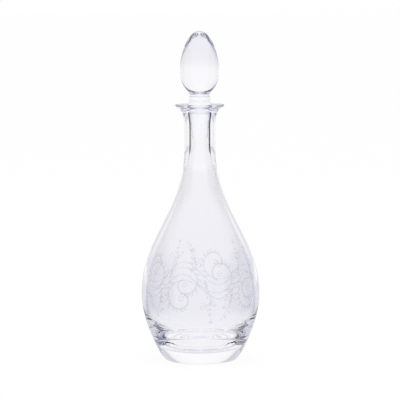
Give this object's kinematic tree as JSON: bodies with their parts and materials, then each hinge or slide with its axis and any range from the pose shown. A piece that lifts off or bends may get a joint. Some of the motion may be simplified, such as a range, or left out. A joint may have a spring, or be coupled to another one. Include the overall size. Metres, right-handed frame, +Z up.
{
  "type": "stoppered glass decanter",
  "caption": "Pear-shaped clear glass decanter with a thick neck, flared lip and heavy base, closed by a lift-out egg-shaped glass stopper on a tapered ground plug.",
  "frame": {"origin": "centre of the flat ring under the base, on the table", "axes": "+Z up along the axis of revolution of bottle and stopper; -Y faces the camera of the picture, +X to its right"},
  "size_m": [0.1174, 0.1174, 0.3277],
  "materials": {
    "bottle_glass": "clear polished, etched scrollwork band on the belly",
    "stopper_glass": "clear polished, finely ground plug"
  },
  "bodies": {
    "bottle": {"bottle": "bottle_glass"},
    "stopper": {"stopper": "stopper_glass"}
  },
  "joints": [
    {"name": "stopper_lift", "type": "slide", "parent": "bottle", "child": "stopper", "axis": [0, 0, 1], "range_m": [0, 0.05]}
  ]
}
